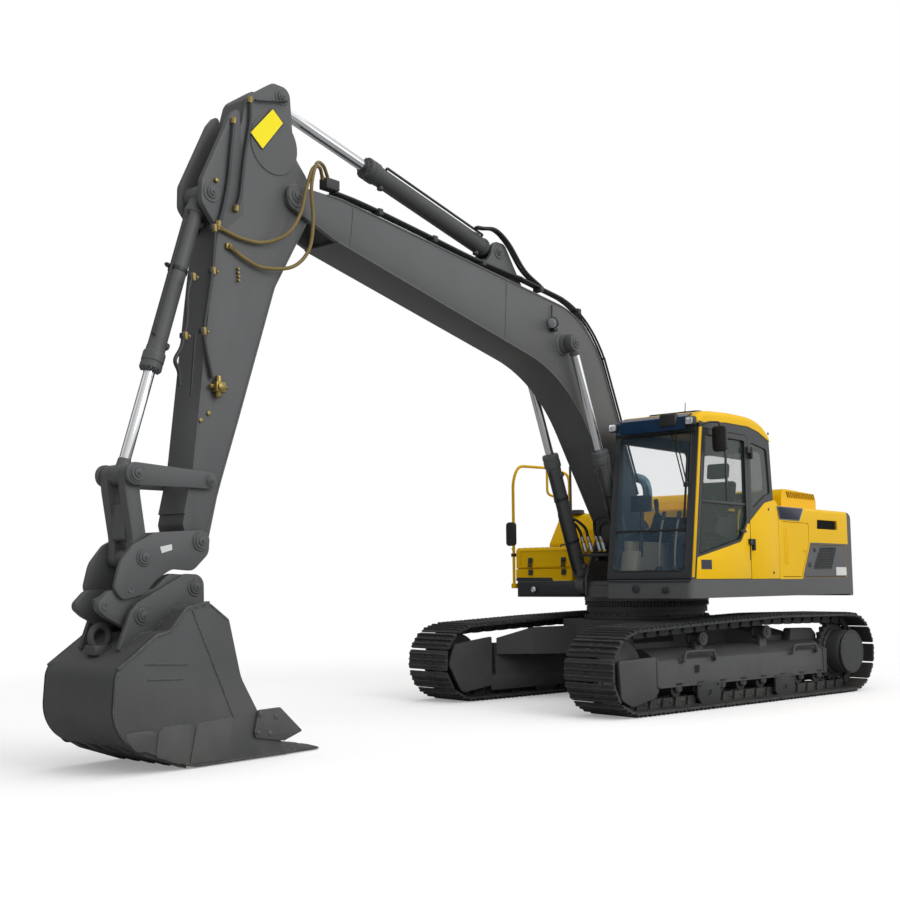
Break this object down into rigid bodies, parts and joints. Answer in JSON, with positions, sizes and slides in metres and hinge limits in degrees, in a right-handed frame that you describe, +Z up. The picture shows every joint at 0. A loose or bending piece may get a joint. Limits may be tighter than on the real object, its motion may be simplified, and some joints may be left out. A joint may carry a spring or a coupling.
{
  "type": "crawler excavator",
  "caption": "Crawler excavator with a bent boom, a stick, a coupler and a toothed bucket, a cab on the left and a rounded tail weight.",
  "frame": {"origin": "on the ground, in the middle of the machine's footprint box", "axes": "+Y towards the tail, the boom reaching towards -Y; +X towards the machine's left, where the cab is; +Z up"},
  "size_m": [3.4538, 10.033, 5.2448],
  "materials": {
    "clear_glass": "clear",
    "seat_cloth": "matte",
    "track_steel": "matte",
    "cast_dark": "satin",
    "chrome_rod": "polished",
    "yellow_paint": "gloss",
    "black_paint": "satin",
    "console_plastic": "matte",
    "bare_steel": "satin",
    "grey_paint": "satin"
  },
  "bodies": {
    "undercarriage": {"center_frame": "black_paint", "track_left": "track_steel", "track_right": "track_steel", "track_frame_left": "black_paint", "track_frame_right": "black_paint", "idler_left": "track_steel", "idler_right": "track_steel", "sprocket_left": "track_steel", "sprocket_right": "track_steel"},
    "house": {"main_frame": "grey_paint", "counterweight": "cast_dark", "engine_housing": "yellow_paint", "engine_block": "cast_dark", "fuel_tank": "yellow_paint", "hydraulic_tank": "yellow_paint", "tool_box": "yellow_paint", "handrail": "yellow_paint", "exhaust_stack": "bare_steel", "cab_frame": "black_paint", "cab_roof": "yellow_paint", "quarter_glass": "clear_glass", "right_glass": "clear_glass", "windshield": "clear_glass", "rear_glass": "clear_glass", "seat_base": "console_plastic", "seat_cushion": "seat_cloth", "seat_backrest": "seat_cloth"},
    "cab_door": {"cab_door": "yellow_paint", "door_glass": "clear_glass"},
    "left_side_door": {"left_side_door": "yellow_paint"},
    "left_grille_door": {"left_grille_door": "grey_paint"},
    "pump_door": {"pump_door": "yellow_paint"},
    "engine_hood": {"engine_hood": "yellow_paint"},
    "tool_box_lid": {"tool_box_lid": "yellow_paint"},
    "boom": {"boom": "grey_paint"},
    "lift_barrels": {"lift_cylinder_left": "grey_paint", "lift_cylinder_right": "grey_paint"},
    "lift_rods": {"lift_rod_left": "chrome_rod", "lift_rod_right": "chrome_rod"},
    "stick_barrel": {"stick_cylinder": "black_paint"},
    "stick_rod": {"stick_rod": "chrome_rod"},
    "stick": {"stick": "grey_paint"},
    "bucket_barrel": {"bucket_cylinder": "black_paint"},
    "bucket_rod": {"bucket_rod": "chrome_rod"},
    "guide_links": {"guide_links": "grey_paint"},
    "bucket_link": {"bucket_link": "grey_paint"},
    "bucket": {"quick_coupler": "black_paint", "bucket": "grey_paint"}
  },
  "joints": [
    {"name": "swing", "type": "hinge", "parent": "undercarriage", "child": "house", "pos_m": [-0.00335, 2.1615, 1.03975], "axis": [0, 0, 1], "continuous": true},
    {"name": "cab_door_hinge", "type": "hinge", "parent": "house", "child": "cab_door", "pos_m": [1.37365, 2.0715, 2.07975], "axis": [0, 0, 1], "range_deg": [0, 170]},
    {"name": "left_side_door_hinge", "type": "hinge", "parent": "house", "child": "left_side_door", "pos_m": [1.34665, 2.7818, 1.63975], "axis": [0, 0, 1], "range_deg": [-110, 0]},
    {"name": "left_grille_door_hinge", "type": "hinge", "parent": "house", "child": "left_grille_door", "pos_m": [1.34665, 4.4762, 1.46975], "axis": [0, 0, 1], "range_deg": [0, 110]},
    {"name": "pump_door_hinge", "type": "hinge", "parent": "house", "child": "pump_door", "pos_m": [-1.35335, 4.4762, 1.63975], "axis": [0, 0, 1], "range_deg": [-110, 0]},
    {"name": "engine_hood_hinge", "type": "hinge", "parent": "house", "child": "engine_hood", "pos_m": [-0.00335, 4.3615, 2.05805], "axis": [-1, 0, 0], "range_deg": [0, 60]},
    {"name": "tool_box_lid_hinge", "type": "hinge", "parent": "house", "child": "tool_box_lid", "pos_m": [-0.95335, 2.1215, 1.63975], "axis": [-1, 0, 0], "range_deg": [0, 80]},
    {"name": "boom_lift", "type": "hinge", "parent": "house", "child": "boom", "pos_m": [-0.05335, 1.7715, 1.77975], "axis": [-1, 0, 0], "range_deg": [-73, 35]},
    {"name": "lift_barrel_pivot", "type": "hinge", "parent": "house", "child": "lift_barrels", "pos_m": [-0.05335, 1.4615, 1.21475], "axis": [-1, 0, 0], "range_deg": [-68.8, 33.3]},
    {"name": "lift_rod_slide", "type": "slide", "parent": "lift_barrels", "child": "lift_rods", "axis": [0, -0.39, 0.9208], "range_m": [-0.744, 0.358]},
    {"name": "stick_swing", "type": "hinge", "parent": "boom", "child": "stick", "pos_m": [-0.05335, -3.2405, 4.35175], "axis": [1, 0, 0], "range_deg": [-52, 58]},
    {"name": "stick_barrel_pivot", "type": "hinge", "parent": "boom", "child": "stick_barrel", "pos_m": [-0.05335, -0.4985, 4.46475], "axis": [1, 0, 0], "range_deg": [-5.7, 6.3]},
    {"name": "stick_rod_slide", "type": "slide", "parent": "stick_barrel", "child": "stick_rod", "axis": [0, -0.9727, 0.2322], "range_m": [-0.617, 0.688]},
    {"name": "bucket_curl", "type": "hinge", "parent": "stick", "child": "bucket", "pos_m": [-0.05335, -4.1525, 1.56675], "axis": [-1, 0, 0], "range_deg": [-75, 85]},
    {"name": "guide_link_pivot", "type": "hinge", "parent": "stick", "child": "guide_links", "pos_m": [-0.05335, -4.0695, 2.00975], "axis": [-1, 0, 0], "range_deg": [-58.9, 66.7]},
    {"name": "bucket_link_pivot", "type": "hinge", "parent": "guide_links", "child": "bucket_link", "pos_m": [-0.05335, -4.7085, 2.02675], "axis": [-1, 0, 0], "range_deg": [-46.3, 40.9]},
    {"name": "bucket_barrel_pivot", "type": "hinge", "parent": "stick", "child": "bucket_barrel", "pos_m": [-0.05335, -4.0635, 4.19375], "axis": [-1, 0, 0], "range_deg": [-0.6, 0.6]},
    {"name": "bucket_rod_slide", "type": "slide", "parent": "bucket_barrel", "child": "bucket_rod", "axis": [0, -0.2853, -0.9584], "range_m": [-0.66, 0.583]}
  ],
  "couplings": [
    {"joint": "lift_barrel_pivot", "follows": "boom_lift", "ratio": 0.93449},
    {"joint": "lift_rod_slide", "follows": "boom_lift", "m_per_rad": 0.5811},
    {"joint": "stick_barrel_pivot", "follows": "stick_swing", "ratio": 0.099791},
    {"joint": "stick_rod_slide", "follows": "stick_swing", "m_per_rad": 0.67576},
    {"joint": "guide_link_pivot", "follows": "bucket_curl", "ratio": 0.77792},
    {"joint": "bucket_link_pivot", "follows": "bucket_curl", "ratio": -0.53861},
    {"joint": "bucket_barrel_pivot", "follows": "bucket_curl", "ratio": -0.000323},
    {"joint": "bucket_rod_slide", "follows": "bucket_curl", "m_per_rad": -0.44274}
  ]
}
